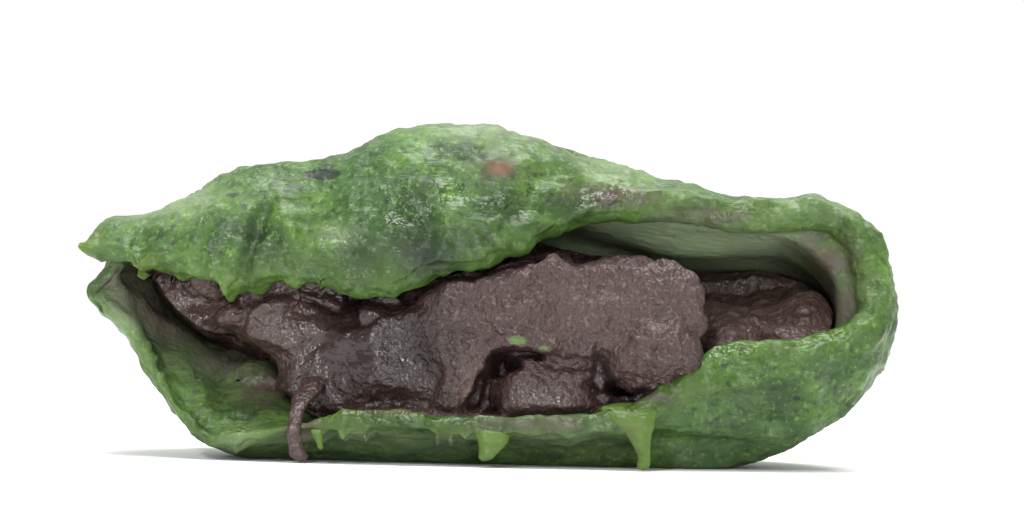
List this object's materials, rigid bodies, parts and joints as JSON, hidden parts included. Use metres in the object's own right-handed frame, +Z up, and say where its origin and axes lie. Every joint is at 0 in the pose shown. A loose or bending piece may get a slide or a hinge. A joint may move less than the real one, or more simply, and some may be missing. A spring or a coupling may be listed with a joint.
{
  "type": "mochi rice cake half",
  "caption": "Torn-open half of a green mugwort rice cake: a pocket of rice dough, flat underneath and round at the back, holding red bean paste that shows in its ragged mouth.",
  "frame": {"origin": "middle of the bounding box's underside, on the floor that the cake rests on", "axes": "+X along the half towards the right end as seen from the torn side, -Y out of the torn mouth, +Y towards the round back, +Z up"},
  "size_m": [0.0674, 0.0364, 0.0284],
  "materials": {
    "mugwort_dough": "moist satin, mottled green",
    "bean_paste": "grainy, moist"
  },
  "bodies": {
    "root": {"skin": "mugwort_dough", "filling": "bean_paste"}
  },
  "joints": []
}
